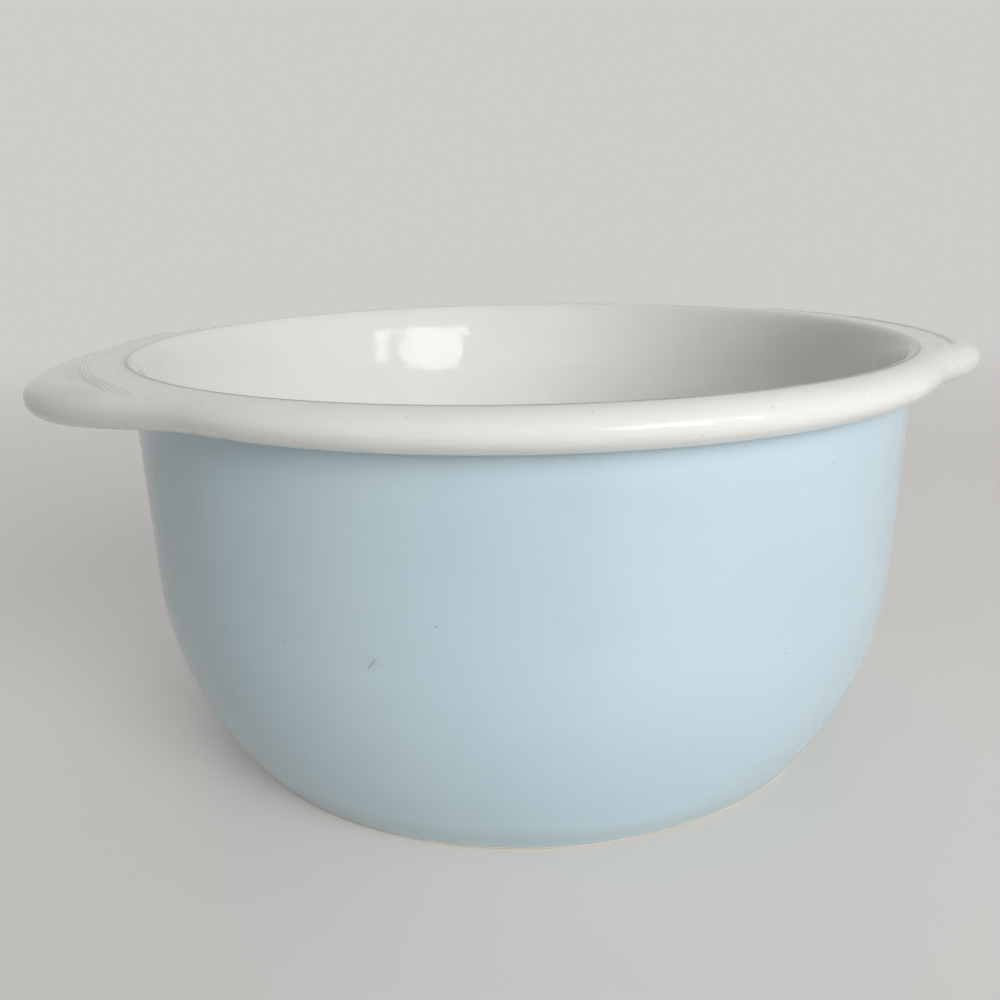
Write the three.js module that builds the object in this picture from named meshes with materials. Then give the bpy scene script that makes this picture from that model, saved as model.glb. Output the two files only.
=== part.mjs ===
// A round oven-to-table casserole dish with two lug handles, without a lid.
// Millimetres, +Z up, +X along the handles, origin at the centre of the foot on the table.
// The dish is a stoneware bowl on a low foot ring, with a rolled rim, two lugs luted onto the rim,
// a blue glaze coat outside and a white one inside.

import * as THREE from 'three';
import { mergeVertices } from 'three/addons/utils/BufferGeometryUtils.js';

// Rim: an oval bead outside the crown circle, a mouth that flares up to a tight lip edge inside it
const crownRadius = 100;
const crownHeight = 102.4;
const beadReach = 6.2;
const beadHalfHeight = 4.3;
const lipSetIn = 0.7;
const mouthFlareHeight = 40;

// Wall and floor, measured on the finished glaze
const wallSetIn = 1.1;
const wallThickness = 8;
const wallFlareDegrees = 1.55;
const bellyTopHeight = 48.8;
const bellyRadius = 84.5;
const floorThickness = 6.6;
const insideCornerRadius = 22;

// Foot ring
const footHeight = 3.2;
const footWidth = 9;
const footChamfer = 1.1;
const bareFootHeight = 1.1;

// Glaze coats
const glazeThickness = 0.5;

// Clearance left in every joint between two pieces
const seatGap = 0.3;

// Lug handles
const lugReach = 22.8;
const lugFullHalfAngle = 7;
const lugEndHalfAngle = 41;
const lugSweepHalfAngle = 35;
const lugNoseWidthAbove = 4.8;
const lugNoseWidthBelow = 5.5;
const lugNoseHeightBelow = 4.9;
const lugNoseSquareness = 3;
const roundSquareness = 2; // the power of a plain oval
const lugDrop = 2.4;
const lugHollow = 0.35;
const lugRootRadius = 4;
const lugRootAngleBelow = 60;

// Top of each lug, turned in one with the crown: nearly level at first, then bending down to a slope
const lugTopTilt = 0.05;
const lugTopSlope = 0.265;
const lugBendStart = 6.6;
const lugBendLength = 5;
const lugTopBlend = 0.15; // the fullness from which the whole slope is there

// Grip ridges on top of each lug, concentric with the rim
const ridgeCount = 3;
const ridgePitch = 0.8;
const ridgeHeight = 0.3;
const ridgeStart = 7.3;

// Facets
const turnSegments = 64;
const arcSteps = 7;
const insideArcSteps = 4;
const cornerSteps = 4;
const beadSteps = 11;
const mouthSteps = 4;
const lipSteps = 5;
const lugStations = 24;
const noseStepsAbove = 5;
const noseStepsBelow = 4;
const hollowSteps = 4;
const rootSteps = 6;
const leastStep = 0.06;
const sharedWithin = 0.0001;

// Heights and centres that follow from the sizes above
const flare = THREE.MathUtils.degToRad(wallFlareDegrees);
const beadCentreHeight = crownHeight - beadHalfHeight;
const rimSeatHeight = beadCentreHeight - beadHalfHeight;
const wallRadiusAtSeat = crownRadius - wallSetIn;
const wallRadiusAtBelly = wallRadiusAtSeat - (rimSeatHeight - bellyTopHeight) * Math.tan(flare);
const bellyCentre = new THREE.Vector2(
  wallRadiusAtBelly - bellyRadius * Math.cos(flare),
  bellyTopHeight + bellyRadius * Math.sin(flare),
);
const floorTopHeight = footHeight + seatGap + floorThickness;
const bodyInset = glazeThickness + seatGap;
const lipRadius = crownRadius - lipSetIn;
const mouthFlareStart = crownHeight - mouthFlareHeight;
const mouthFlareWidth = lipRadius - wallPoint(wallThickness, crownHeight).x;

const white = { color: 0xe9e6e0, roughness: 0.16, metalness: 0 };
const blue = { color: 0xb9ced4, roughness: 0.18, metalness: 0 };
const biscuit = { color: 0xd8c6a6, roughness: 0.85, metalness: 0 };

function point(radius, height) {
  return new THREE.Vector2(radius, height);
}

// Points of an upright oval about a centre; angles are in radians from the outward horizontal.
function ovalPoints(centre, halfWidth, halfHeight, fromAngle, toAngle, steps) {
  const points = [];
  for (let i = 0; i <= steps; i += 1) {
    const angle = THREE.MathUtils.lerp(fromAngle, toAngle, i / steps);
    points.push(point(centre.x + halfWidth * Math.cos(angle), centre.y + halfHeight * Math.sin(angle)));
  }
  return points;
}

function arcPoints(centre, radius, fromAngle, toAngle, steps) {
  return ovalPoints(centre, radius, radius, fromAngle, toAngle, steps);
}

// Radius of the belly curve at a height, at a depth under the finished outer face.
function bellyRadiusAt(depth, height) {
  const arcRadius = bellyRadius - depth;
  const rise = bellyCentre.y - height;
  return bellyCentre.x + Math.sqrt(arcRadius * arcRadius - rise * rise);
}

// The straight flared wall at a depth under the finished outer face, at one height.
function wallPoint(depth, height) {
  const radius = wallRadiusAtSeat - (rimSeatHeight - height) * Math.tan(flare) - depth / Math.cos(flare);
  return point(radius, height);
}

// The outer side from one height up to another, at a depth under the finished outer face.
function outerSide(depth, lowHeight, highHeight) {
  const arcRadius = bellyRadius - depth;
  const lowAngle = -Math.asin((bellyCentre.y - lowHeight) / arcRadius);
  const arc = arcPoints(bellyCentre, arcRadius, lowAngle, -flare, arcSteps);
  return [...arc, wallPoint(depth, highHeight)];
}

// The finished inner face from one height up to another inside the flare, a quarter oval that leaves the
// wall upright and reaches the lip level; it lies at a depth behind that face.
function mouthFlare(depth, lowHeight, highHeight, steps) {
  const lowAngle = Math.asin((lowHeight - mouthFlareStart) / mouthFlareHeight);
  const highAngle = Math.asin((highHeight - mouthFlareStart) / mouthFlareHeight);
  const points = [];
  for (let i = 0; i <= steps; i += 1) {
    const angle = THREE.MathUtils.lerp(lowAngle, highAngle, i / steps);
    const height = mouthFlareStart + mouthFlareHeight * Math.sin(angle);
    const radius = wallPoint(wallThickness - depth, height).x + mouthFlareWidth * (1 - Math.cos(angle));
    points.push(point(radius, height));
  }
  return points;
}

// The inside from the middle of the floor up to a height, at a depth behind the finished inner face.
function innerSide(depth, highHeight) {
  const cornerHeight = floorTopHeight + insideCornerRadius;
  const bellyInside = bellyRadius - wallThickness;
  const reach = bellyInside - insideCornerRadius;
  const turn = Math.asin((bellyCentre.y - cornerHeight) / reach);
  const cornerCentre = point(bellyCentre.x + reach * Math.cos(turn), cornerHeight);
  const corner = arcPoints(cornerCentre, insideCornerRadius + depth, -Math.PI / 2, -turn, cornerSteps);
  const belly = arcPoints(bellyCentre, bellyInside + depth, -turn, -flare, insideArcSteps);
  return [
    point(0, floorTopHeight - depth),
    ...corner,
    ...belly.slice(1),
    ...mouthFlare(depth, mouthFlareStart, highHeight, mouthSteps),
  ];
}

// Turns a section about the dish's upright axis, and shares the vertices along its seam.
function turned(section) {
  const geometry = new THREE.LatheGeometry(section, turnSegments);
  geometry.rotateX(Math.PI / 2);
  geometry.deleteAttribute('normal');
  geometry.deleteAttribute('uv');
  const merged = mergeVertices(geometry, sharedWithin);
  merged.computeVertexNormals();
  return merged;
}

function piece(name, geometry, look) {
  const mesh = new THREE.Mesh(geometry, new THREE.MeshStandardMaterial(look));
  mesh.name = name;
  return mesh;
}

// The unglazed foot: a low ring under the edge of the floor, bare where it meets the table.
function footRing() {
  const bareTop = bareFootHeight - seatGap;
  const outer = bellyRadiusAt(0, bareTop);
  const outerTop = bellyRadiusAt(bodyInset, footHeight);
  const inner = outer - footWidth;
  return turned([
    point(inner, 0),
    point(outer - footChamfer, 0),
    point(outer, bareTop),
    point(bellyRadiusAt(bodyInset, bareTop), bareTop),
    point(outerTop, footHeight),
    point(inner, footHeight),
    point(inner, 0),
  ]);
}

// The biscuit bowl: floor, belly and wall in one, up to the seat of the rolled rim.
function bowlBody() {
  const top = rimSeatHeight - seatGap;
  const bottom = footHeight + seatGap;
  const outside = outerSide(bodyInset, bottom, top);
  const inside = innerSide(bodyInset, top);
  return turned([point(0, bottom), ...outside, ...inside.reverse()]);
}

function blueGlaze() {
  const top = rimSeatHeight - seatGap;
  const face = outerSide(0, bareFootHeight, top);
  const back = outerSide(glazeThickness, bareFootHeight, top);
  return turned([...face, ...back.reverse(), face[0].clone()]);
}

function whiteGlaze() {
  const top = rimSeatHeight - seatGap;
  const face = innerSide(0, top);
  const back = innerSide(glazeThickness, top);
  return turned([...back, ...face.reverse()]);
}

// The rolled rim: an oval bead that stands proud of the wall. Its inside is the top of the flaring mouth,
// which ends in a tight lip edge, where a lid would sit.
function rolledRim() {
  const beadCentre = point(crownRadius, beadCentreHeight);
  const quarter = Math.PI / 2;
  const bead = ovalPoints(beadCentre, beadReach, beadHalfHeight, -quarter, quarter, beadSteps);
  const mouth = mouthFlare(0, rimSeatHeight, crownHeight, lipSteps);
  return turned([...bead, ...mouth.reverse(), bead[0].clone()]);
}

// How far a lug stands out at an angle from its middle: 1 over its flat front, 0 where it has run out.
function lugFullness(degrees) {
  return THREE.MathUtils.smoothstep(lugEndHalfAngle - Math.abs(degrees), 0, lugEndHalfAngle - lugFullHalfAngle);
}

// The nose of the lug at a fullness, grown out of the rim's own bead. Above and below its widest height it
// is a quarter of an oval each, and the upper one squares up into an edge where the lug is full.
function lugNose(fullness) {
  const mix = THREE.MathUtils.lerp;
  const end = crownRadius + mix(beadReach, lugReach, fullness);
  const widthAbove = mix(beadReach, lugNoseWidthAbove, fullness);
  const widthBelow = mix(beadReach, lugNoseWidthBelow, fullness);
  return {
    height: beadCentreHeight - lugDrop * fullness,
    widthAbove,
    widthBelow,
    startAbove: end - widthAbove,
    startBelow: end - widthBelow,
    heightBelow: mix(beadHalfHeight, lugNoseHeightBelow, fullness),
    squareness: mix(roundSquareness, lugNoseSquareness, fullness),
    slopeShare: THREE.MathUtils.smoothstep(fullness, 0, lugTopBlend),
  };
}

// Height of the lug's plain top at a radius.
function lugTopHeight(nose, radius) {
  const offset = radius - crownRadius;
  const bent = THREE.MathUtils.clamp(offset - lugBendStart, 0, lugBendLength);
  const straight = Math.max(offset - lugBendStart - lugBendLength, 0);
  const bend = (lugTopSlope - lugTopTilt) * ((bent * bent) / (2 * lugBendLength) + straight);
  const top = crownHeight - nose.slopeShare * (lugTopTilt * offset + bend);
  const across = THREE.MathUtils.clamp((radius - nose.startAbove) / nose.widthAbove, 0, 1);
  const left = Math.pow(1 - Math.pow(across, nose.squareness), 1 / nose.squareness);
  return THREE.MathUtils.lerp(nose.height, top, left);
}

// Height of the lug's underside at a radius: straight out from the bead's bottom, then round the nose.
function lugUnderHeight(nose, radius) {
  const across = THREE.MathUtils.clamp((radius - nose.startBelow) / nose.widthBelow, 0, 1);
  const along = THREE.MathUtils.clamp((radius - crownRadius) / (nose.startBelow - crownRadius), 0, 1);
  const bottom = THREE.MathUtils.lerp(rimSeatHeight, nose.height - nose.heightBelow, along);
  return THREE.MathUtils.lerp(nose.height, bottom, Math.sqrt(1 - across * across));
}

// Points of the nose from its top round to its underside, both at the radii given.
function nosePoints(nose, topRadius, underRadius) {
  const points = [];
  const topAcross = Math.max((topRadius - nose.startAbove) / nose.widthAbove, 0);
  const topAngle = Math.acos(Math.pow(topAcross, nose.squareness / 2));
  for (let i = 0; i <= noseStepsAbove; i += 1) {
    const angle = topAngle * (1 - i / noseStepsAbove);
    const radius = nose.startAbove + nose.widthAbove * Math.pow(Math.cos(angle), 2 / nose.squareness);
    points.push(point(radius, lugTopHeight(nose, radius)));
  }
  const underAngle = Math.acos((underRadius - nose.startBelow) / nose.widthBelow);
  for (let i = 1; i <= noseStepsBelow; i += 1) {
    const radius = nose.startBelow + nose.widthBelow * Math.cos((underAngle * i) / noseStepsBelow);
    points.push(point(radius, lugUnderHeight(nose, radius)));
  }
  return points;
}

// Radii of the points along the lug's top, with what each stands above or below the plain top.
function lugTopSteps() {
  const steps = [{ offset: lugRootRadius, rise: 0 }];
  for (let i = 0; i < ridgeCount; i += 1) {
    const foot = ridgeStart + i * ridgePitch;
    steps.push({ offset: foot, rise: 0 });
    steps.push({ offset: foot + ridgePitch / 2, rise: ridgeHeight });
  }
  const ridgesEnd = ridgeStart + ridgeCount * ridgePitch;
  const topEnd = lugReach - lugNoseWidthAbove;
  for (let i = 0; i <= hollowSteps; i += 1) {
    const along = i / hollowSteps;
    const offset = THREE.MathUtils.lerp(ridgesEnd, topEnd, along);
    steps.push({ offset, rise: -lugHollow * Math.sin(Math.PI * along) });
  }
  return steps;
}

// Closed section of the lug at a fullness, from the rim's bead round the nose and back.
function lugSection(fullness) {
  const nose = lugNose(fullness);
  const beadCentre = point(crownRadius, beadCentreHeight);
  const seatWidth = beadReach + seatGap;
  const lowAngle = -THREE.MathUtils.degToRad(lugRootAngleBelow);
  const highAngle = Math.acos(lugRootRadius / seatWidth);
  const section = ovalPoints(beadCentre, seatWidth, beadHalfHeight + seatGap, lowAngle, highAngle, rootSteps);
  const steps = lugTopSteps();
  const rootRadius = crownRadius + lugRootRadius;
  const topEnd = Math.max(nose.startAbove, rootRadius + leastStep * steps.length * 2);
  steps.forEach(({ offset, rise }, i) => {
    const latest = topEnd - leastStep * (steps.length - 1 - i);
    const radius = Math.min(crownRadius + offset, latest);
    const fade = THREE.MathUtils.clamp((latest - crownRadius - offset) / ridgePitch + 1, 0, 1);
    section.push(point(radius, lugTopHeight(nose, radius) + rise * fade * fullness));
  });
  const rootBelow = section[0].x;
  const underEnd = Math.max(nose.startBelow, rootBelow + leastStep);
  const front = nosePoints(nose, topEnd, underEnd);
  return [...section, ...front.slice(1), point(rootBelow, lugUnderHeight(nose, rootBelow))];
}

// One lug, pointing along +X: its section swept round the rim, with the end faces closed.
function lugHandle() {
  const sections = [];
  const positions = [];
  for (let i = 0; i <= lugStations; i += 1) {
    const degrees = lugSweepHalfAngle * ((2 * i) / lugStations - 1);
    const angle = THREE.MathUtils.degToRad(degrees);
    const section = lugSection(lugFullness(degrees));
    sections.push(section);
    for (const { x, y } of section) {
      positions.push(x * Math.cos(angle), x * Math.sin(angle), y);
    }
  }
  const count = sections[0].length;
  const indices = [];
  for (let i = 0; i < lugStations; i += 1) {
    for (let j = 0; j < count; j += 1) {
      const a = i * count + j;
      const b = i * count + ((j + 1) % count);
      indices.push(a, b, a + count, b, b + count, a + count);
    }
  }
  const last = lugStations * count;
  for (const [a, b, c] of THREE.ShapeUtils.triangulateShape(sections[0], [])) {
    indices.push(a, b, c);
  }
  for (const [a, b, c] of THREE.ShapeUtils.triangulateShape(sections[lugStations], [])) {
    indices.push(last + a, last + c, last + b);
  }
  const geometry = new THREE.BufferGeometry();
  geometry.setAttribute('position', new THREE.Float32BufferAttribute(positions, 3));
  geometry.setIndex(indices);
  geometry.computeVertexNormals();
  return geometry;
}

const dish = new THREE.Group();
dish.add(piece('foot_ring', footRing(), biscuit));
dish.add(piece('bowl_body', bowlBody(), biscuit));
dish.add(piece('blue_outer_glaze', blueGlaze(), blue));
dish.add(piece('white_inner_glaze', whiteGlaze(), white));
dish.add(piece('rolled_rim', rolledRim(), white));
dish.add(piece('right_lug_handle', lugHandle(), white));
const leftLug = piece('left_lug_handle', lugHandle(), white);
leftLug.rotation.z = Math.PI;
dish.add(leftLug);

export default dish;
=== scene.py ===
"""The looks of a round open casserole dish with a rolled white rim, two lug handles and a pale blue wall.

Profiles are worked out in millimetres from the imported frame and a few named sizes, and become metres when a
mesh is made. Each profile is a list of (radius, height) points that is swept about the dish's upright axis.
"""

import math

import bpy
import numpy as np
from mathutils import Matrix, Vector


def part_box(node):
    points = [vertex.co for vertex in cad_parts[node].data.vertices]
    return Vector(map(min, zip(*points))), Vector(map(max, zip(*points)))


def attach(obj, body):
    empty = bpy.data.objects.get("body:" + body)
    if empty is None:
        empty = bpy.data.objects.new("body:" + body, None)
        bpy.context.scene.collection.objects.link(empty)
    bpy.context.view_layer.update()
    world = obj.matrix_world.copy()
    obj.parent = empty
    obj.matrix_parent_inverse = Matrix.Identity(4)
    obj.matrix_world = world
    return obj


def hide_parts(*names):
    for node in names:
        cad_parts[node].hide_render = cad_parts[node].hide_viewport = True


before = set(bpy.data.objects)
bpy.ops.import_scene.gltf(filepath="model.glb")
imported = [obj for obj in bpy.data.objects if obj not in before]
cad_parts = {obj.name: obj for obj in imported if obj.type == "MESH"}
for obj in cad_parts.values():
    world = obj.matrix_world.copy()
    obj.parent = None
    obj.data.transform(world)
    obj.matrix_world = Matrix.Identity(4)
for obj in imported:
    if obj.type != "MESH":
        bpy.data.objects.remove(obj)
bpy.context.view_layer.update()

MM = 0.001


def box_mm(node):
    low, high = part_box(node)
    return low / MM, high / MM


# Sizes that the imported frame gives
rim_low, rim_high = box_mm("rolled_rim")
_, lug_high = box_mm("right_lug_handle")
body_low, _ = box_mm("bowl_body")
CROWN_HEIGHT = rim_high.z
SEAT_HEIGHT = rim_low.z
RECESS_HEIGHT = body_low.z

# Rim: an oval bead outside the crown circle and a mouth that flares up to a tight lip inside it
BEAD_REACH = 6.2
LIP_SET_IN = 0.7
MOUTH_FLARE_HEIGHT = 40.0
CROWN_RADIUS = rim_high.x - BEAD_REACH
BEAD_HALF_HEIGHT = (CROWN_HEIGHT - SEAT_HEIGHT) / 2
BEAD_HEIGHT = CROWN_HEIGHT - BEAD_HALF_HEIGHT

# Wall and floor
WALL_SET_IN = 1.1
WALL_THICKNESS = 8.0
WALL_FLARE = math.radians(1.55)
BELLY_TOP = 48.8
BELLY_RADIUS = 84.5
FLOOR_THICKNESS = 6.6
INSIDE_CORNER = 22.0
GLAZE_THICKNESS = 0.5

# Foot, and the rounded lower edge of the blue glaze above it
FOOT_WIDTH = 9.0
FOOT_CHAMFER = 0.9
FOOT_CHAMFER_HEIGHT = 0.8 * FOOT_CHAMFER
FOOT_INNER_ROUND = 0.6
BARE_HEIGHT = 0.65
BARE_SET_IN = 0.25
GLAZE_EDGE_HEIGHT = 0.7
GLAZE_EDGE_SET_IN = 0.45 * GLAZE_EDGE_HEIGHT
RECESS_FILLET = 2.2

# Lugs. A squareness is the power of an oval: 2 is round, and more is squarer.
LUG_REACH = lug_high.x - CROWN_RADIUS
LUG_FULL_ANGLE = 7.0
LUG_END_ANGLE = 41.0
LUG_NOSE_WIDTH_ABOVE = 4.8
LUG_NOSE_WIDTH_BELOW = 5.5
LUG_NOSE_HEIGHT_BELOW = 4.9
LUG_NOSE_SQUARENESS = 3.0
BEAD_SQUARENESS = 2.0
LUG_DROP = 2.4

# The low step where a lug stands above the bead, at its offset from the crown circle
LUG_ROOT = 3.6
LUG_ROOT_BLEND = 0.9
LUG_ROOT_SHARE = 0.3
LUG_ROOT_NOSE_SHARE = 0.6

# Top of each lug, turned in one with the crown: nearly level at first, then bending down to a slope
LUG_TOP_TILT = 0.05
LUG_TOP_SLOPE = 0.265
LUG_BEND_START = 6.6
LUG_BEND_LENGTH = 5.0
LUG_TOP_BLEND = 0.15

# Grip ridges on the lugs, by their distance outside the crown circle
RIDGE_COUNT = 3
RIDGE_PITCH = 0.8
RIDGE_HEIGHT = 0.25
RIDGE_START = 7.3
RIDGE_END = RIDGE_START + RIDGE_COUNT * RIDGE_PITCH

# Fine lines beside the ridges, each with its offset from the crown circle and its depth. A negative depth
# stands proud.
SCORED_LINES = ((3.5, -0.06), (10.5, 0.07), (12.9, 0.05))
SCORED_LINE_WIDTH = 0.5

# Ridges and lines fade out at the nose over this width, and with the lug's fullness
EDGE_FADE = 1.6
EDGE_FADE_NOSE_SHARE = 0.5
GRIP_FULLNESS = 0.3

# Shallow hollow between the ridges and the nose, which needs some room
LUG_HOLLOW = 0.35
HOLLOW_ROOM = 0.5
HOLLOW_FULL_ROOM = 5.0
HOLLOW_POWER = 1.5

# Fine turning lines left on the crown, as offsets from the crown circle and depths
TURNING_LINES = ((0.25, 0.012), (1.0, 0.03), (1.9, 0.02))
TURNING_LINE_WIDTH = 0.3
TURNING_LINE_FADE = 1.2

# Hand-made wander of the whole dish: waves round it, each with its count, phase and share
WANDER_OUT = 0.12
WANDER_OUT_WAVES = ((2, 0.7, 0.6), (3, 2.1, 0.4))
WANDER_UP = 0.1
WANDER_UP_WAVES = ((2, 2.9, 0.5), (3, 0.4, 0.3))
WANDER_UP_DROP = 0.8

# Steps of the meshes. The stations round the rim stop just short of a full turn, where the first one is.
EVEN_DEGREES = np.arange(0, 360, 1.25)
LUG_DEGREES = 0.7
RIM_DEGREES = 1.5
FULL_TURN = 359.999
RIM_FLARE_STEPS = 36
RIM_UPPER_STEPS = 162
RIM_LOWER_STEPS = 44
DENSE_STEPS = 1600
FOOT_FILLET_STEPS = 6
FOOT_EDGE_STEPS = 5
SHARP_DEGREES = 45

# Shares of the way from the flare over to the crown, and along the back of the rim, for the points between
BRIDGE_SHARES = np.array([[0.33], [0.67]])
BACK_SHARES = np.array([[0.25], [0.5], [0.75]])

# Least divisor, where a length may shrink to nothing
TINY = 1e-9

wall_radius_at_seat = CROWN_RADIUS - WALL_SET_IN
wall_radius_at_belly = wall_radius_at_seat - (SEAT_HEIGHT - BELLY_TOP) * math.tan(WALL_FLARE)
belly_centre = (
    wall_radius_at_belly - BELLY_RADIUS * math.cos(WALL_FLARE),
    BELLY_TOP + BELLY_RADIUS * math.sin(WALL_FLARE),
)
floor_top = RECESS_HEIGHT + FLOOR_THICKNESS
lip_radius = CROWN_RADIUS - LIP_SET_IN
flare_start = CROWN_HEIGHT - MOUTH_FLARE_HEIGHT


def mix(a, b, t):
    return a + (b - a) * t


def smoothstep(x, low, high):
    t = np.clip((np.asarray(x, float) - low) / (high - low), 0, 1)
    return t * t * (3 - 2 * t)


def belly_radius_at(height):
    rise = belly_centre[1] - height
    return belly_centre[0] + math.sqrt(BELLY_RADIUS**2 - rise * rise)


def wall_radius(height, depth=0.0):
    lean = (SEAT_HEIGHT - height) * math.tan(WALL_FLARE)
    return wall_radius_at_seat - lean - depth / math.cos(WALL_FLARE)


def arc_points(centre, start, end, steps, out, up=None):
    """steps + 1 points of an arc about a centre. out and up are its half axes, alike unless up is given."""
    up = out if up is None else up
    angles = np.linspace(start, end, steps + 1)
    return [(centre[0] + out * math.cos(angle), centre[1] + up * math.sin(angle)) for angle in angles]


def outer_side(low, high, depth, arc_steps, wall_steps):
    """The outer face from the height low up to high, at a depth under it."""
    reach = BELLY_RADIUS - depth
    start = -math.asin((belly_centre[1] - low) / reach)
    points = arc_points(belly_centre, start, -WALL_FLARE, arc_steps, reach)
    for height in np.linspace(points[-1][1], high, wall_steps + 1)[1:]:
        points.append((wall_radius(height, depth), height))
    return points


mouth_flare_width = lip_radius - wall_radius(CROWN_HEIGHT, WALL_THICKNESS)


def mouth_flare(low, high, depth, steps):
    """The inner face inside the flare: a quarter oval, upright at the wall and level at the lip."""
    low_angle = math.asin((low - flare_start) / MOUTH_FLARE_HEIGHT)
    high_angle = math.asin(min(1.0, (high - flare_start) / MOUTH_FLARE_HEIGHT))
    points = []
    for angle in np.linspace(low_angle, high_angle, steps + 1):
        height = flare_start + MOUTH_FLARE_HEIGHT * math.sin(angle)
        radius = wall_radius(height, WALL_THICKNESS - depth) + mouth_flare_width * (1 - math.cos(angle))
        points.append((radius, height))
    return points


def inner_side(high, depth, floor_steps, corner_steps, belly_steps, flare_steps):
    """The inner face from the middle of the floor up to a height, at a depth behind it."""
    corner_height = floor_top + INSIDE_CORNER
    belly_inside = BELLY_RADIUS - WALL_THICKNESS
    reach = belly_inside - INSIDE_CORNER
    turn = math.asin((belly_centre[1] - corner_height) / reach)
    corner_radius = belly_centre[0] + reach * math.cos(turn)
    points = [(corner_radius * i / floor_steps, floor_top - depth) for i in range(floor_steps)]
    corner = (corner_radius, corner_height)
    points += arc_points(corner, -math.pi / 2, -turn, corner_steps, INSIDE_CORNER + depth)
    points += arc_points(belly_centre, -turn, -WALL_FLARE, belly_steps, belly_inside + depth)[1:]
    return points + mouth_flare(flare_start, high, depth, flare_steps)


def from_lug(degrees):
    """How many degrees an angle round the dish is away from the nearer lug's middle."""
    return abs((degrees + 90) % 180 - 90)


def lug_fullness(degrees):
    """1 over a lug's flat front and 0 where it has run out into the bead."""
    return float(smoothstep(LUG_END_ANGLE - from_lug(degrees), 0, LUG_END_ANGLE - LUG_FULL_ANGLE))


def bead_top(radius):
    across = np.clip((radius - CROWN_RADIUS) / BEAD_REACH, 0, 1)
    return BEAD_HEIGHT + BEAD_HALF_HEIGHT * np.sqrt(1 - across**2)


def grooves(radius, lines, width):
    """Fine lines turned into a surface, each with its offset from the crown circle and its depth."""
    cut = np.zeros_like(radius)
    for offset, depth in lines:
        cut -= depth * np.exp(-(((radius - CROWN_RADIUS - offset) / (width / 2)) ** 2))
    return cut


def lug_top(radius, fullness):
    """The lug's plain top."""
    offset = radius - CROWN_RADIUS
    bent = np.clip(offset - LUG_BEND_START, 0, LUG_BEND_LENGTH)
    straight = np.maximum(offset - LUG_BEND_START - LUG_BEND_LENGTH, 0)
    bend = (LUG_TOP_SLOPE - LUG_TOP_TILT) * (bent**2 / (2 * LUG_BEND_LENGTH) + straight)
    return CROWN_HEIGHT - smoothstep(fullness, 0, LUG_TOP_BLEND) * (LUG_TOP_TILT * offset + bend)


def with_root(plain, radius, nose_start, nose_width):
    """A lug's top with the low step down to the bead at its root."""
    step = CROWN_RADIUS + LUG_ROOT
    root = smoothstep(radius, step - LUG_ROOT_BLEND, step + LUG_ROOT_BLEND)
    low_root = mix(plain, np.minimum(bead_top(radius), plain), LUG_ROOT_SHARE)
    on_top = radius < nose_start + LUG_ROOT_NOSE_SHARE * nose_width
    return np.where(on_top, mix(low_root, plain, root), plain)


def with_grip(upper, radius, fullness, nose_start, nose_width):
    """A lug's top with the grip ridges, the scored lines and the hollow, which fade over its shoulder."""
    offset = radius - CROWN_RADIUS
    to_edge = nose_start + EDGE_FADE_NOSE_SHARE * nose_width - radius
    fade = smoothstep(to_edge, 0, EDGE_FADE) * float(smoothstep(fullness, 0, GRIP_FULLNESS))
    phase = (offset - RIDGE_START) / RIDGE_PITCH
    ridged = (phase > 0) & (phase < RIDGE_COUNT)
    upper = upper + np.where(ridged, RIDGE_HEIGHT * np.sin(math.pi * phase) ** 2, 0) * fade
    upper = upper + grooves(radius, SCORED_LINES, SCORED_LINE_WIDTH) * fade
    room = nose_start - CROWN_RADIUS - RIDGE_END
    if room <= HOLLOW_ROOM:
        return upper
    within = np.clip((offset - RIDGE_END) / room, 0, 1)
    depth = LUG_HOLLOW * fullness * float(smoothstep(room, HOLLOW_ROOM, HOLLOW_FULL_ROOM))
    return upper - depth * np.sin(math.pi * within) ** HOLLOW_POWER


def rim_upper(fullness, end, height):
    """The rim's upper side: from the crown out over the top, then the squared quarter of the nose."""
    width = mix(BEAD_REACH, LUG_NOSE_WIDTH_ABOVE, fullness)
    power = mix(BEAD_SQUARENESS, LUG_NOSE_SQUARENESS, fullness)
    start = end - width
    across = np.sin(np.linspace(0, math.pi / 2, DENSE_STEPS)) ** (2 / power)
    nose_r = start + width * across
    nose_z = mix(height, lug_top(nose_r, fullness), (1 - across**power) ** (1 / power))
    top_r = np.zeros(0)
    if fullness > 0:
        top_r = np.linspace(CROWN_RADIUS, start, DENSE_STEPS, endpoint=False)
    radius = np.concatenate([top_r, nose_r])
    upper = with_root(np.concatenate([lug_top(top_r, fullness), nose_z]), radius, start, width)
    upper = with_grip(upper, radius, fullness, start, width)
    upper = upper + grooves(radius, TURNING_LINES, TURNING_LINE_WIDTH)
    return np.stack([radius, upper], 1)


def rim_lower(fullness, end, height):
    """The rim's lower side: the round quarter of the nose, then straight back under to the bead's bottom."""
    width = mix(BEAD_REACH, LUG_NOSE_WIDTH_BELOW, fullness)
    low = height - mix(BEAD_HALF_HEIGHT, LUG_NOSE_HEIGHT_BELOW, fullness)
    start = end - width
    under = max(start - CROWN_RADIUS, TINY)
    angle = np.linspace(0, math.pi / 2, DENSE_STEPS)[1:]
    low_r = start + width * np.cos(angle)
    run = np.clip((low_r - CROWN_RADIUS) / under, 0, 1)
    low_z = mix(height, mix(SEAT_HEIGHT, low, run), np.sin(angle))
    under_r = np.zeros(0)
    if fullness > 0:
        under_r = np.linspace(start, CROWN_RADIUS, DENSE_STEPS)[1:]
    under_z = mix(SEAT_HEIGHT, low, (under_r - CROWN_RADIUS) / under)
    return np.concatenate([np.stack([low_r, low_z], 1), np.stack([under_r, under_z], 1)])


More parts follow.
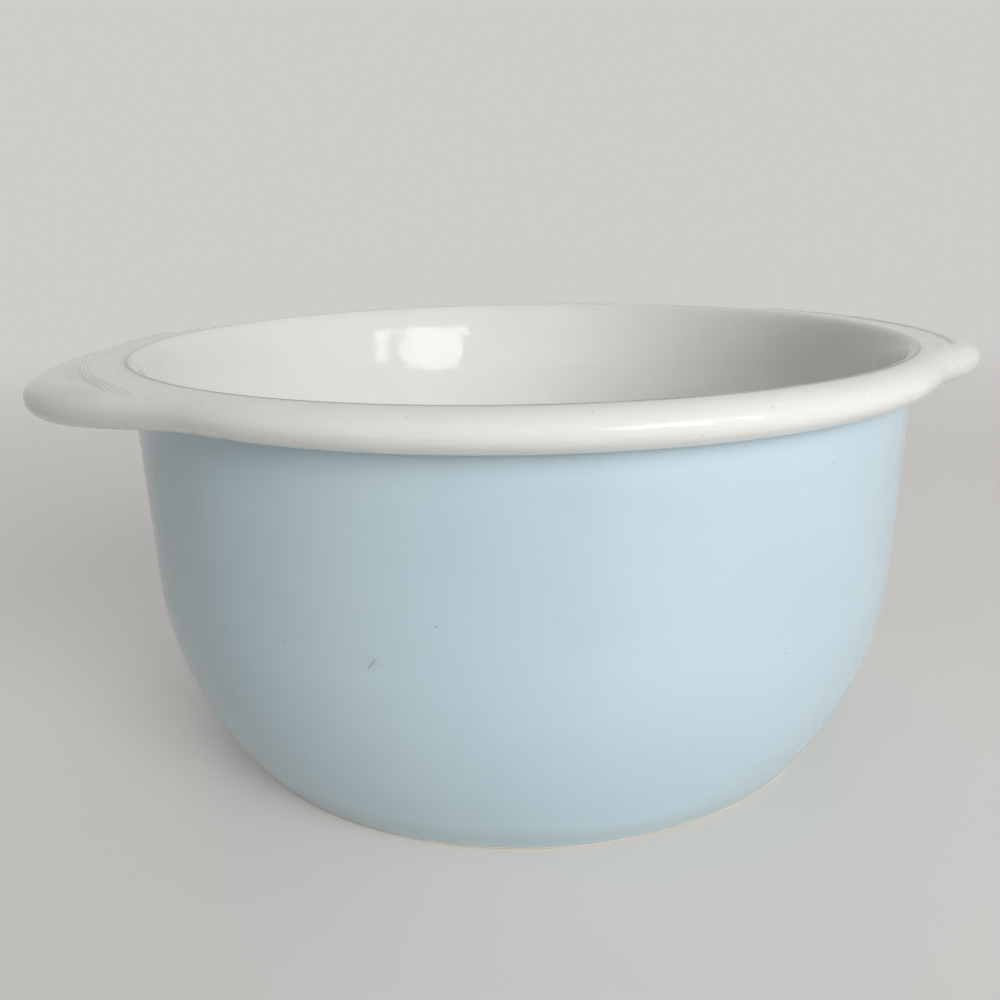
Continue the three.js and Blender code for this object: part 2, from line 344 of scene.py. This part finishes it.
def rim_outside(fullness):
    """The outer side of the rim at a fullness: the line from the crown to the nose and the one below it."""
    end = CROWN_RADIUS + mix(BEAD_REACH, LUG_REACH, fullness)
    height = BEAD_HEIGHT - LUG_DROP * fullness
    upper = rim_upper(fullness, end, height)
    return upper, np.concatenate([upper[-1:], rim_lower(fullness, end, height)])


def resampled(line, count):
    """count + 1 points at equal steps along a line."""
    steps = np.linalg.norm(np.diff(line, axis=0), axis=1)
    length = np.concatenate([[0], np.cumsum(steps)])
    at = np.linspace(0, length[-1], count + 1)
    return np.stack([np.interp(at, length, line[:, 0]), np.interp(at, length, line[:, 1])], 1)


def waves(angle, parts):
    """The sum of some waves round the dish, each with its count, phase and share."""
    return sum(np.sin(count * angle + phase) * share for count, phase, share in parts)


def wandered(points):
    """Moves points by the slow wander of a hand-finished dish. The foot stays level on the table."""
    x, y, z = points[:, 0], points[:, 1], points[:, 2]
    angle = np.arctan2(y, x)
    up = smoothstep(z, 0, CROWN_HEIGHT)
    out = WANDER_OUT * waves(angle, WANDER_OUT_WAVES) * up - WANDER_OUT * up
    lift = WANDER_UP * (waves(angle, WANDER_UP_WAVES) - WANDER_UP_DROP) * up
    radius = np.maximum(np.hypot(x, y), TINY)
    scale = 1 + out * np.clip(radius / CROWN_RADIUS, 0, 1) / radius
    return np.stack([x * scale, y * scale, z + lift], 1)


def placed(name, data):
    """A new object in the scene."""
    made = bpy.data.objects.new(name, data)
    bpy.context.scene.collection.objects.link(made)
    return made


def make_object(name, points, faces):
    mesh = bpy.data.meshes.new(name)
    mesh.from_pydata((wandered(np.asarray(points)) * MM).tolist(), [], faces)
    mesh.validate()
    mesh.update()
    mesh.polygons.foreach_set("use_smooth", [True] * len(mesh.polygons))
    mesh.set_sharp_from_angle(angle=math.radians(SHARP_DEGREES))
    return placed(name, mesh)


def swept(name, sections, angles):
    """A closed ring: one closed section of (radius, height) points, anticlockwise, at each angle in turn."""
    stations, count = len(angles), len(sections[0])
    points = []
    for section, angle in zip(sections, angles):
        for radius, height in section:
            points.append((radius * math.cos(angle), radius * math.sin(angle), height))
    faces = []
    for i in range(stations):
        here, there = i * count, (i + 1) % stations * count
        for j in range(count):
            k = (j + 1) % count
            faces.append((here + j, there + j, there + k, here + k))
    return make_object(name, points, faces)


def turned(name, section, degrees=EVEN_DEGREES):
    """A ring of one section, or a solid where the section starts and ends on the axis."""
    angles = np.radians(degrees)
    stations = len(angles)
    on_axis = section[0][0] == 0
    if not on_axis:
        return swept(name, [section] * stations, angles)
    inner = section[1:-1]
    count = len(inner)
    points = [(r * math.cos(a), r * math.sin(a), z) for a in angles for r, z in inner]
    first, last = len(points), len(points) + 1
    points += [(0, 0, section[0][1]), (0, 0, section[-1][1])]
    faces = []
    for i in range(stations):
        here, there = i * count, (i + 1) % stations * count
        faces.append((first, there, here))
        for j in range(count - 1):
            faces.append((here + j, there + j, there + j + 1, here + j + 1))
        faces.append((last, here + count - 1, there + count - 1))
    return make_object(name, points, faces)


def rim_degrees():
    """The stations round the rim, close together over the lugs."""
    degrees = []
    at = 0.0
    while at < FULL_TURN:
        degrees.append(at)
        at += LUG_DEGREES if from_lug(at) < LUG_END_ANGLE else RIM_DEGREES
    return degrees


def rim_with_lugs():
    """The rolled rim and both lugs in one fired piece."""
    degrees = rim_degrees()
    flare = np.array(mouth_flare(SEAT_HEIGHT, CROWN_HEIGHT, 0, RIM_FLARE_STEPS))
    near_lip = smoothstep(flare[:, 0], lip_radius - TURNING_LINE_FADE, lip_radius)
    flare[:, 1] += grooves(flare[:, 0], TURNING_LINES, TURNING_LINE_WIDTH) * near_lip
    sections = []
    for degree in degrees:
        top, bottom = rim_outside(lug_fullness(degree))
        top_points = resampled(top, RIM_UPPER_STEPS)
        bottom_points = resampled(bottom, RIM_LOWER_STEPS)
        bridge = mix(flare[-1], top_points[0], BRIDGE_SHARES)
        bridge[:, 1] = CROWN_HEIGHT + grooves(bridge[:, 0], TURNING_LINES, TURNING_LINE_WIDTH)
        back = mix(bottom_points[-1], flare[0], BACK_SHARES)
        section = np.concatenate([flare, bridge, top_points, bottom_points[1:], back])
        sections.append(section[::-1])
    return swept("rim_with_lugs", sections, np.radians(degrees))


def inner_glaze():
    face = inner_side(SEAT_HEIGHT, 0, floor_steps=12, corner_steps=26, belly_steps=20, flare_steps=30)
    back = inner_side(
        SEAT_HEIGHT, GLAZE_THICKNESS, floor_steps=4, corner_steps=8, belly_steps=6, flare_steps=8
    )
    return turned("inner_white_glaze", back + face[::-1], rim_degrees())


def outer_glaze():
    low = BARE_HEIGHT
    face = outer_side(low, SEAT_HEIGHT, 0, arc_steps=70, wall_steps=40)
    back = outer_side(low, SEAT_HEIGHT, GLAZE_THICKNESS, arc_steps=12, wall_steps=4)
    inset = smoothstep([z for _, z in face], low + GLAZE_EDGE_HEIGHT, low) * GLAZE_EDGE_SET_IN
    rounded = [(r - d, z) for (r, z), d in zip(face, inset)]
    return turned("outer_blue_glaze", rounded + back[::-1])


def bare_foot():
    """The unglazed ring that the dish stands on, with the fillet up to the set-back underside."""
    outer = belly_radius_at(BARE_HEIGHT) - BARE_SET_IN
    inner = outer - FOOT_WIDTH
    top = RECESS_HEIGHT + GLAZE_THICKNESS
    quarter = math.pi / 2
    fillet = (inner - RECESS_FILLET, RECESS_HEIGHT - RECESS_FILLET)
    inner_round = (inner + FOOT_INNER_ROUND, FOOT_INNER_ROUND)
    chamfer = (outer - FOOT_CHAMFER, FOOT_CHAMFER_HEIGHT)
    points = [(inner - RECESS_FILLET, top)]
    points += arc_points(fillet, quarter, 0, FOOT_FILLET_STEPS, RECESS_FILLET)
    points += arc_points(inner_round, 2 * quarter, 3 * quarter, FOOT_EDGE_STEPS, FOOT_INNER_ROUND)
    points += arc_points(chamfer, -quarter, 0, FOOT_EDGE_STEPS, FOOT_CHAMFER, FOOT_CHAMFER_HEIGHT)
    points.append((outer, top))
    return turned("bare_foot", points)


# Materials: colours, then the sizes and places of marks and painted shade in millimetres

BLUE = (0.565, 0.71, 0.782)
BLUE_PALE = (0.585, 0.729, 0.8)
BLUE_DEEP = (0.545, 0.69, 0.764)
GREY_BLUE = (0.48, 0.585, 0.58)
WHITE = (0.852, 0.845, 0.818)
WHITE_WARM = (0.80, 0.78, 0.735)
WHITE_BRIGHT = (0.872, 0.867, 0.842)
# Grey of the painted shade along the lip and beside the grip ridges
PAINTED_SHADE_GREY = (0.3, 0.29, 0.265)
SPECK = (0.25, 0.235, 0.21)
BISCUIT = (0.8, 0.72, 0.58)
BISCUIT_PALE = (0.86, 0.81, 0.7)
BISCUIT_DEEP = (0.64, 0.52, 0.37)
CHIP_GREY = (0.3, 0.335, 0.31)

# How the blue glaze ends above the foot: the heights between which each tone fades in. The grey one starts
# at a height that wanders.
GREYED_FROM = (9.5, 4.5)
GREYED_UNTIL = (1.2, 3.5)
GREYED_WANDER = 1.2
THIN_FROM = (1.3, 0.6)

# The painted shade along the lip, a thin grey line: its place outside the lip's radius, the distances from it
# between which its core and its soft edge fade in, and the depths under the crown between which it fades in
LIP_SHADE_OUT = 0.22
LIP_SHADE_CORE = (0.7, 0.3)
LIP_SHADE_EDGE = (1.8, 0.3)
LIP_SHADE_EDGE_SHARE = 0.3
LIP_SHADE_DEPTHS = (1.2, 0.5)

# The side of the dish where the painted shade on the lip is strongest, how far from the axis that is so, and
# its share on the far side
FRONT = (-0.21, -0.98, 0.0)
LIP_SHADE_REACH = 60.0
LIP_SHADE_LEAST = 0.3

# Painted shade in the valleys beside the grip ridges: how far beyond them in pitches, and the depths under
# the crown between which it fades in
RIDGE_SHADE_BEYOND = (0.4, 0.1)
RIDGE_SHADE_DEPTHS = (1.9, 1.3)
RIDGE_SHADE_POWER = 4.0

# Inside the mouth the specks and ripples are fainter
INSIDE_SHARE = 0.15
INSIDE_FADE = 1.0

# Turning lines under the foot
FOOT_LINE_PITCH = 1.6

# A round speck is full out to this share of its radius, and soft beyond
SPECK_CORE = 0.45

# What most of the noise lies between
NOISE_RANGE = (0.3, 0.7)

# A small chip in the blue glaze, low on the front
CHIP = ((-48.9, -84.5, 50.0), (-47.8, -85.2, 51.5))
CHIP_DOT = ((-46.7, -85.7, 50.9), (-46.6, -85.75, 50.95))


class Nodes:
    """Short helpers for a node tree."""

    def __init__(self, tree):
        self.tree = tree

    def add(self, kind, inputs=(), **properties):
        node = self.tree.nodes.new(kind)
        for key, value in properties.items():
            setattr(node, key, value)
        for key, value in dict(inputs).items():
            self.put(node.inputs[key], value)
        return node

    def put(self, socket, value):
        """Links a socket to another one, or sets its value. A colour may be given without its alpha."""
        if isinstance(value, bpy.types.NodeSocket):
            self.tree.links.new(value, socket)
        elif socket.type == "RGBA" and len(value) == 3:
            socket.default_value = (*value, 1)
        else:
            socket.default_value = value

    def maths(self, operation, *values):
        node = self.add("ShaderNodeMath", operation=operation)
        for socket, value in zip(node.inputs, values):
            self.put(socket, value)
        return node.outputs[0]

    def stage_rays(self):
        """1 for the rays that see the pale stage: from the camera, in gloss and through glass."""
        path = self.add("ShaderNodeLightPath").outputs
        seen = self.maths("MAXIMUM", path["Is Camera Ray"], path["Is Glossy Ray"])
        return self.maths("MAXIMUM", seen, path["Is Transmission Ray"])

    def mixed(self, factor, first, second):
        """Two shader nodes mixed."""
        node = self.add("ShaderNodeMixShader", {"Fac": factor})
        self.put(node.inputs[1], first.outputs[0])
        self.put(node.inputs[2], second.outputs[0])
        return node.outputs[0]


class Shader(Nodes):
    """A node material. Positions are the object's own, in metres."""

    def __init__(self, name, colour, roughness, **sockets):
        self.material = bpy.data.materials.new(name)
        self.material.use_nodes = True
        super().__init__(self.material.node_tree)
        self.surface = self.tree.nodes["Principled BSDF"]
        self.put(self.surface.inputs["Base Color"], colour)
        self.put(self.surface.inputs["Roughness"], roughness)
        for key, value in sockets.items():
            self.put(self.surface.inputs[key], value)
        self.place = self.add("ShaderNodeTexCoord").outputs["Object"]

    def times(self, *values):
        product = values[0]
        for value in values[1:]:
            product = self.maths("MULTIPLY", product, value)
        return product

    def vector(self, operation, *values):
        node = self.add("ShaderNodeVectorMath", operation=operation)
        for socket, value in zip(node.inputs, values):
            self.put(socket, value)
        return node

    def noise(self, scale, detail=2.0, rough=0.5, stretch=None):
        """Soft noise between 0 and 1. A stretch below 1 draws it out along that axis."""
        vector = self.place
        if stretch:
            vector = self.add("ShaderNodeMapping", {"Vector": self.place, "Scale": stretch}).outputs[0]
        inputs = {"Vector": vector, "Scale": scale, "Detail": detail, "Roughness": rough}
        return self.add("ShaderNodeTexNoise", inputs).outputs["Fac"]

    def ramp(self, value, low, high, to_low=0.0, to_high=1.0):
        inputs = {"Value": value, "From Min": low, "From Max": high, "To Min": to_low, "To Max": to_high}
        return self.add("ShaderNodeMapRange", inputs, interpolation_type="SMOOTHSTEP").outputs[0]

    def ramp_mm(self, value, low, high, to_low=0.0, to_high=1.0):
        """A ramp over a length, from one number of millimetres to another."""
        return self.ramp(value, low * MM, high * MM, to_low, to_high)

    def clouds(self, scale, detail=2.0, rough=0.5, to_low=0.0, to_high=1.0):
        """Soft noise that is spread out from one value to another."""
        return self.ramp(self.noise(scale, detail, rough), *NOISE_RANGE, to_low, to_high)

    def blend(self, factor, a, b):
        node = self.add("ShaderNodeMix", data_type="RGBA")
        self.put(node.inputs[0], factor)
        self.put(node.inputs[6], a)
        self.put(node.inputs[7], b)
        return node.outputs[2]

    def axis_parts(self):
        """The distance from the dish's axis and the height, in metres."""
        x, y, z = self.add("ShaderNodeSeparateXYZ", {"Vector": self.place}).outputs
        radius = self.maths("SQRT", self.maths("ADD", self.times(x, x), self.times(y, y)))
        return radius, z

    def axis_along(self, direction):
        """How far a place lies along a direction from the dish's axis, in metres."""
        return self.vector("DOT_PRODUCT", self.place, direction).outputs["Value"]

    def specks(self, scale, size, share, seed):
        """Scattered round spots: 1 on a spot.

        scale is the number of cells in a metre, size a spot's radius as a part of a cell, and share the part
        of the cells that hold one.
        """
        shift = (seed, seed * 0.7, seed * 1.3)
        moved = self.add("ShaderNodeMapping", {"Vector": self.place, "Location": shift})
        cells = self.add("ShaderNodeTexVoronoi", {"Vector": moved.outputs[0], "Scale": scale})
        spot = self.ramp(cells.outputs["Distance"], size, size * SPECK_CORE)
        pick = self.add("ShaderNodeSeparateColor", {"Color": cells.outputs["Color"]}).outputs[0]
        return self.times(spot, self.maths("GREATER_THAN", pick, 1 - share))

    def tick(self, start, end, radius, softness):
        """1 within a radius of the straight line between two points. All lengths in millimetres."""
        a, b = Vector(start) * MM, Vector(end) * MM
        from_start = self.vector("SUBTRACT", self.place, a).outputs[0]
        along = self.vector("DOT_PRODUCT", from_start, (b - a) / (b - a).length_squared).outputs["Value"]
        along = self.maths("MINIMUM", self.maths("MAXIMUM", along, 0.0), 1.0)
        reach = self.add("ShaderNodeVectorMath", {"Vector": b - a, "Scale": along}, operation="SCALE")
        gap = self.vector("DISTANCE", from_start, reach.outputs[0]).outputs["Value"]
        return self.ramp_mm(gap, radius + softness, radius - softness)

    def bump(self, height, distance, under=None):
        """The normal of a bumpy surface, laid over another one. The distance is a height of 1 in metres."""
        node = self.add("ShaderNodeBump", {"Height": height, "Distance": distance})
        if under:
            self.put(node.inputs["Normal"], under)
        return node.outputs["Normal"]

    def finish(self, colour, roughness, normal):
        self.put(self.surface.inputs["Base Color"], colour)
        self.put(self.surface.inputs["Roughness"], roughness)
        self.put(self.surface.inputs["Normal"], normal)
        return self.material


def blue_tone(s):
    """The blue glaze's plain colour, slightly uneven in clouds, streaks, rings and fine grain."""
    colour = s.blend(s.clouds(24, 3, 0.55), BLUE_DEEP, BLUE_PALE)
    streaks = s.noise(95, 4, 0.65, stretch=(1.0, 1.0, 0.16))
    colour = s.blend(s.ramp(streaks, 0.3, 0.75, 0.0, 0.5), colour, BLUE_PALE)
    rings = s.noise(130, 3, 0.6, stretch=(0.1, 0.1, 1.0))
    colour = s.blend(s.ramp(rings, 0.3, 0.75, 0.0, 0.5), colour, BLUE_DEEP)
    grain = s.noise(900, 2, 0.6)
    return s.blend(s.ramp(grain, 0.35, 0.75, 0.0, 0.35), colour, BLUE_PALE)


def blue_glaze_material():
    s = Shader("blue_glaze", BLUE, roughness=0.14, IOR=1.5)
    _, height = s.axis_parts()
    colour = blue_tone(s)
    wander = s.clouds(35, to_low=-GREYED_WANDER * MM, to_high=GREYED_WANDER * MM)
    low_edge = s.maths("ADD", height, wander)
    greyed = s.times(s.ramp_mm(low_edge, *GREYED_FROM), s.ramp_mm(height, *GREYED_UNTIL))
    colour = s.blend(s.times(greyed, 0.5), colour, GREY_BLUE)
    colour = s.blend(s.times(s.ramp_mm(height, *THIN_FROM), 0.7), colour, BISCUIT_PALE)
    dark = s.specks(420, size=0.14, share=0.02, seed=0.31)
    colour = s.blend(s.times(dark, 0.3), colour, SPECK)
    chip = s.tick(*CHIP, radius=0.16, softness=0.12)
    chip = s.maths("MAXIMUM", chip, s.tick(*CHIP_DOT, radius=0.12, softness=0.1))
    colour = s.blend(s.times(s.tick(*CHIP, radius=0.7, softness=0.6), 0.3), colour, GREY_BLUE)
    colour = s.blend(s.times(chip, 0.5), colour, CHIP_GREY)
    normal = s.bump(s.noise(45, 2, 0.5, stretch=(0.5, 0.5, 1.0)), 0.0006)
    normal = s.bump(s.noise(700, 2, 0.6), 0.00002, under=normal)
    normal = s.bump(s.maths("ADD", dark, chip), 0.0001, under=normal)
    roughness = s.clouds(90, 3, 0.6, 0.1, 0.18)
    return s.finish(colour, roughness, normal)


def lip_painted_shade(s, radius, height):
    """Painted shade along the lip: a thin grey line, in patches and stronger at the front."""
    away = s.maths("ABSOLUTE", s.maths("SUBTRACT", radius, (lip_radius + LIP_SHADE_OUT) * MM))
    core = s.ramp_mm(away, *LIP_SHADE_CORE)
    line = s.maths("MAXIMUM", core, s.ramp_mm(away, *LIP_SHADE_EDGE, 0.0, LIP_SHADE_EDGE_SHARE))
    patches = s.ramp(s.noise(60, 3, 0.6), 0.3, 0.65, 0.75, 1.0)
    front_share = s.ramp_mm(s.axis_along(FRONT), 0.0, LIP_SHADE_REACH, LIP_SHADE_LEAST, 1.0)
    high = s.ramp_mm(height, *(CROWN_HEIGHT - depth for depth in LIP_SHADE_DEPTHS))
    return s.times(line, s.times(patches, front_share), high)


def ridge_painted_shade(s, radius, height):
    """Painted shade in the valleys beside the grip ridges."""
    offset = s.maths("SUBTRACT", radius, (CROWN_RADIUS + RIDGE_START) * MM)
    phase = s.maths("DIVIDE", offset, RIDGE_PITCH * MM)
    swing = s.maths("ABSOLUTE", s.maths("COSINE", s.times(phase, math.pi)))
    valleys = s.maths("POWER", swing, RIDGE_SHADE_POWER)
    inward = s.ramp(phase, *(-beyond for beyond in RIDGE_SHADE_BEYOND))
    outward = s.ramp(phase, *(RIDGE_COUNT + beyond for beyond in RIDGE_SHADE_BEYOND))
    on_top = s.ramp_mm(height, *(CROWN_HEIGHT - depth for depth in RIDGE_SHADE_DEPTHS))
    return s.times(valleys, s.times(inward, outward), on_top)


def white_glaze_material():
    s = Shader("white_glaze", WHITE, roughness=0.08, IOR=1.5)
    radius, height = s.axis_parts()
    colour = s.blend(s.clouds(22, 3, 0.55), WHITE, WHITE_BRIGHT)
    streaks = s.noise(150, 3, 0.65, stretch=(0.1, 0.1, 1.0))
    colour = s.blend(s.ramp(streaks, 0.55, 0.85, 0.0, 0.35), colour, WHITE_WARM)
    # Painted shade: a grey line along the lip, stronger at the front
    colour = s.blend(lip_painted_shade(s, radius, height), colour, PAINTED_SHADE_GREY)
    # Painted shade: grey in the valleys beside the grip ridges
    colour = s.blend(s.times(ridge_painted_shade(s, radius, height), 0.25), colour, PAINTED_SHADE_GREY)
    outside = s.ramp_mm(radius, lip_radius - INSIDE_FADE, lip_radius, INSIDE_SHARE, 1.0)
    pins = s.times(s.specks(330, size=0.13, share=0.03, seed=0.77), outside)
    stains = s.times(s.specks(420, size=0.2, share=0.07, seed=1.9), outside)
    faint = s.times(s.specks(240, size=0.15, share=0.08, seed=2.6), outside)
    for spots, strength in ((pins, 0.35), (stains, 0.2), (faint, 0.12)):
        colour = s.blend(s.times(spots, strength), colour, SPECK)
    normal = s.bump(s.noise(55, 2, 0.5), 0.0005)
    normal = s.bump(s.noise(330, 3, 0.6), 0.00004, under=normal)
    ripples = s.times(s.noise(700, 3, 0.6, stretch=(0.14, 0.14, 1.0)), outside)
    normal = s.bump(ripples, 0.00018, under=normal)
    normal = s.bump(s.maths("SUBTRACT", 1.0, pins), 0.00012, under=normal)
    roughness = s.clouds(80, 3, 0.6, 0.05, 0.1)
    return s.finish(colour, roughness, normal)


def biscuit_material():
    s = Shader("bare_biscuit", BISCUIT, roughness=0.85, IOR=1.45)
    radius, _ = s.axis_parts()
    colour = s.blend(s.clouds(40, 4, 0.6), BISCUIT, BISCUIT_PALE)
    grains = s.specks(900, size=0.3, share=0.12, seed=0.5)
    colour = s.blend(s.times(grains, 0.5), colour, BISCUIT_DEEP)
    lines = s.maths("SINE", s.times(radius, 2 * math.pi / (FOOT_LINE_PITCH * MM)))
    lines = s.maths("ADD", lines, s.times(s.noise(120, 3, 0.6), 3.0))
    normal = s.bump(lines, 0.00006)
    normal = s.bump(s.noise(1500, 3, 0.7), 0.0001, under=normal)
    roughness = s.clouds(200, 3, 0.6, 0.78, 0.92)
    return s.finish(colour, roughness, normal)


blue_glaze = blue_glaze_material()
white_glaze = white_glaze_material()
biscuit = biscuit_material()

rim = rim_with_lugs()
inner = inner_glaze()
outer = outer_glaze()
foot = bare_foot()
for piece, material, slot, nodes in (
    (rim, white_glaze, "white_glaze", ("rolled_rim", "right_lug_handle", "left_lug_handle")),
    (inner, white_glaze, "white_glaze", ("white_inner_glaze",)),
    (outer, blue_glaze, "blue_glaze", ("blue_outer_glaze",)),
    (foot, biscuit, "bare_biscuit", ("foot_ring",)),
):
    piece.data.materials.append(material)
    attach(piece, "root")
    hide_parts(*nodes)
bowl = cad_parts["bowl_body"]
bowl.data.materials.clear()
bowl.data.materials.append(biscuit)

# Camera, at the photograph's place: distance and height in millimetres, angles in radians, and a lens as
# long as the picture is wide
CAMERA_DISTANCE = 270.06
CAMERA_HEIGHT = 134.25
CAMERA_YAW = -0.022
CAMERA_PITCH = 0.2794
CAMERA_ROLL = -0.0208
CAMERA_LENS = 36
VIEW_TURN = math.radians(-12.2)


def photo_camera():
    ahead = Vector((
        math.sin(CAMERA_YAW) * math.cos(CAMERA_PITCH),
        math.cos(CAMERA_YAW) * math.cos(CAMERA_PITCH),
        -math.sin(CAMERA_PITCH),
    ))
    level = Vector((math.cos(CAMERA_YAW), -math.sin(CAMERA_YAW), 0))
    over = level.cross(ahead)
    right = level * math.cos(CAMERA_ROLL) + over * math.sin(CAMERA_ROLL)
    up = over * math.cos(CAMERA_ROLL) - level * math.sin(CAMERA_ROLL)
    matrix = Matrix((right, up, -ahead)).transposed().to_4x4()
    matrix.translation = Vector((0, -CAMERA_DISTANCE, CAMERA_HEIGHT)) * MM
    data = bpy.data.cameras.new("photo_camera")
    data.lens = CAMERA_LENS
    data.sensor_width = CAMERA_LENS
    data.clip_start = 0.01
    data.clip_end = 50
    camera = placed("photo_camera", data)
    camera.matrix_world = Matrix.Rotation(VIEW_TURN, 4, "Z") @ matrix
    bpy.context.scene.camera = camera


# Stage, in metres: a wide floor that fades into the pale backdrop where it is seen
PALE = (0.62, 0.61, 0.59)
FLOOR = (0.80, 0.785, 0.755)
FLOOR_ROUGHNESS = 0.3
FLOOR_GLOW = 0.3
FLOOR_FADE = (0.3, 0.95)
FLOOR_RADIUS = 2.6
FLOOR_RINGS = 24
FLOOR_RING_POWER = 1.5
FLOOR_STATIONS = 64
AMBIENT = (0.03, 0.028, 0.026)
LIGHT_DISTANCE = 1.5


def stage_floor():
    points = [(0, 0, 0)]
    faces = []
    for i in range(1, FLOOR_RINGS + 1):
        for j in range(FLOOR_STATIONS):
            angle = 2 * math.pi * j / FLOOR_STATIONS
            reach = FLOOR_RADIUS * (i / FLOOR_RINGS) ** FLOOR_RING_POWER
            points.append((reach * math.cos(angle), reach * math.sin(angle), 0))
    for j in range(FLOOR_STATIONS):
        faces.append((0, 1 + j, 1 + (j + 1) % FLOOR_STATIONS))
    for i in range(FLOOR_RINGS - 1):
        for j in range(FLOOR_STATIONS):
            a = 1 + i * FLOOR_STATIONS + j
            b = 1 + i * FLOOR_STATIONS + (j + 1) % FLOOR_STATIONS
            faces.append((a, a + FLOOR_STATIONS, b + FLOOR_STATIONS, b))
    mesh = bpy.data.meshes.new("floor")
    mesh.from_pydata(points, [], faces)
    floor = placed("floor", mesh)
    s = Shader("floor", FLOOR, FLOOR_ROUGHNESS)
    radius, _ = s.axis_parts()
    fade = s.times(s.ramp(radius, *FLOOR_FADE, FLOOR_GLOW, 1.0), s.stage_rays())
    glow = s.add("ShaderNodeEmission", {"Color": PALE, "Strength": 1.0})
    s.put(s.tree.nodes["Material Output"].inputs["Surface"], s.mixed(fade, s.surface, glow))
    mesh.materials.append(s.material)


def stage_world():
    world = bpy.data.worlds.new("studio")
    world.use_nodes = True
    world.node_tree.nodes.clear()
    n = Nodes(world.node_tree)
    ambient = n.add("ShaderNodeBackground", {"Color": AMBIENT})
    backdrop = n.add("ShaderNodeBackground", {"Color": PALE})
    n.add("ShaderNodeOutputWorld", {"Surface": n.mixed(n.stage_rays(), ambient, backdrop)})
    bpy.context.scene.world = world


def soft_light(name, azimuth, elevation, width, height, power, in_gloss=True):
    """A soft box that looks at the dish, seen in its gloss or not.

    The azimuth is in degrees, 0 on the camera's side of the dish and 90 to its right.
    """
    data = bpy.data.lights.new(name, "AREA")
    data.shape = "RECTANGLE"
    data.size = width
    data.size_y = height
    data.energy = power
    light = placed(name, data)
    turn = math.radians(azimuth) + VIEW_TURN
    rise = math.radians(elevation)
    back = Vector((math.sin(turn) * math.cos(rise), -math.cos(turn) * math.cos(rise), math.sin(rise)))
    target = Vector((0, 0, CROWN_HEIGHT * MM / 2))
    light.location = target + back * LIGHT_DISTANCE
    light.rotation_mode = "QUATERNION"
    light.rotation_quaternion = back.to_track_quat("Z", "Y")
    light.visible_glossy = in_gloss


photo_camera()
stage_floor()
stage_world()
soft_light("wide_light", 35.5, 21.5, width=0.64, height=0.63, power=5.6)
soft_light("narrow_light", 57, 22, width=0.2, height=0.53, power=1.3)
soft_light("main_fill", 30, 29, width=0.8, height=0.8, power=10.2, in_gloss=False)
soft_light("top_fill", 0, 80, width=1.2, height=1.2, power=2.6, in_gloss=False)
soft_light("left_fill", -60, 55, width=1.0, height=1.0, power=1.5, in_gloss=False)
soft_light("back_fill", 175, 42, width=1.2, height=1.0, power=5.0, in_gloss=False)

bpy.context.scene.view_settings.view_transform = "Standard"
